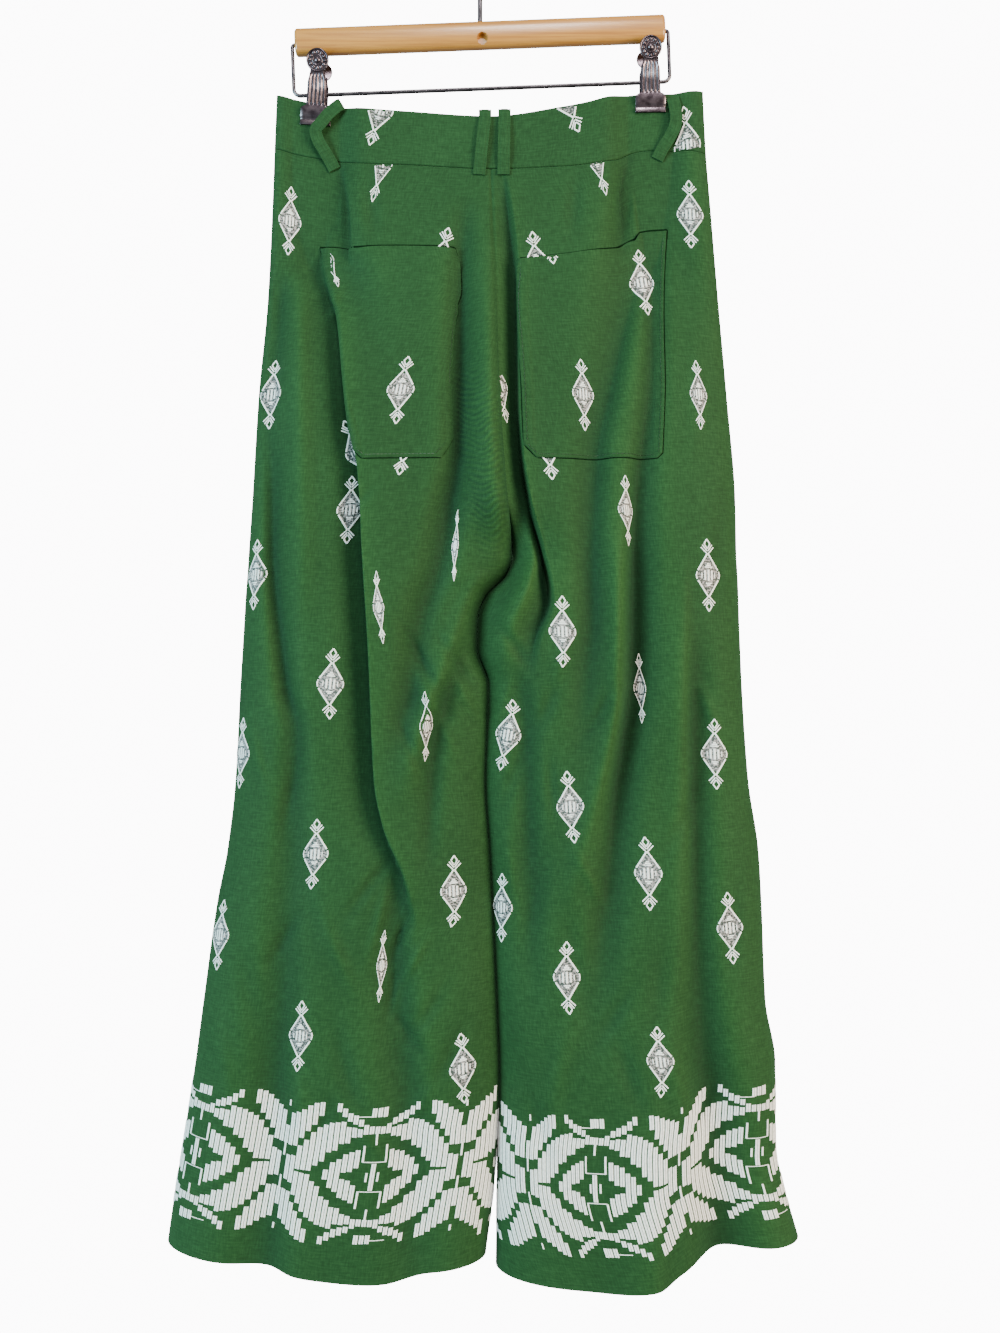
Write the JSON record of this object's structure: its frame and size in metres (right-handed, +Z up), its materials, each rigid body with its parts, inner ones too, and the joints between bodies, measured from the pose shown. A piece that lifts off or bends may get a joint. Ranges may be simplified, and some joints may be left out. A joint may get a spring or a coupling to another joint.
{
  "type": "wide-leg culottes on a clip hanger",
  "caption": "Ankle-length wide-leg culottes with patch pockets, hung flat from a wooden bar hanger by sprung clips, seen from the back.",
  "frame": {"origin": "inside of the hook's crown, where the hanger hangs from a rail", "axes": "+Z up, +X to the right as seen from the garment's back, +Y from the garment's back to its front"},
  "size_m": [0.5782, 0.0925, 1.2172],
  "materials": {
    "green_cloth": "matt, slubby plain weave with a faint sheen",
    "pale_thread": "satin stitched embroidery thread",
    "green_button": "polished",
    "pale_wood": "clear lacquer over straight grain",
    "bright_steel": "nickel plated, pressed",
    "grey_steel": "drawn wire, dull plating"
  },
  "bodies": {
    "root": {"back_left": "green_cloth", "back_right": "green_cloth", "front_left": "green_cloth", "front_right": "green_cloth", "waistband_back": "green_cloth", "waistband_front_left": "green_cloth", "waistband_front_right": "green_cloth", "fly": "green_cloth", "pocket_left": "green_cloth", "pocket_right": "green_cloth", "loop_centre_left": "green_cloth", "loop_centre_right": "green_cloth", "loop_side_left": "green_cloth", "loop_side_right": "green_cloth", "loop_front_left": "green_cloth", "loop_front_right": "green_cloth", "button": "green_button", "hanger_bar": "pale_wood", "hanger_wire": "grey_steel", "hanger_hook": "grey_steel", "clip_left_front": "bright_steel", "clip_left_rear": "bright_steel", "clip_left_spring": "grey_steel", "clip_right_front": "bright_steel", "clip_right_rear": "bright_steel", "clip_right_spring": "grey_steel"}
  },
  "joints": []
}
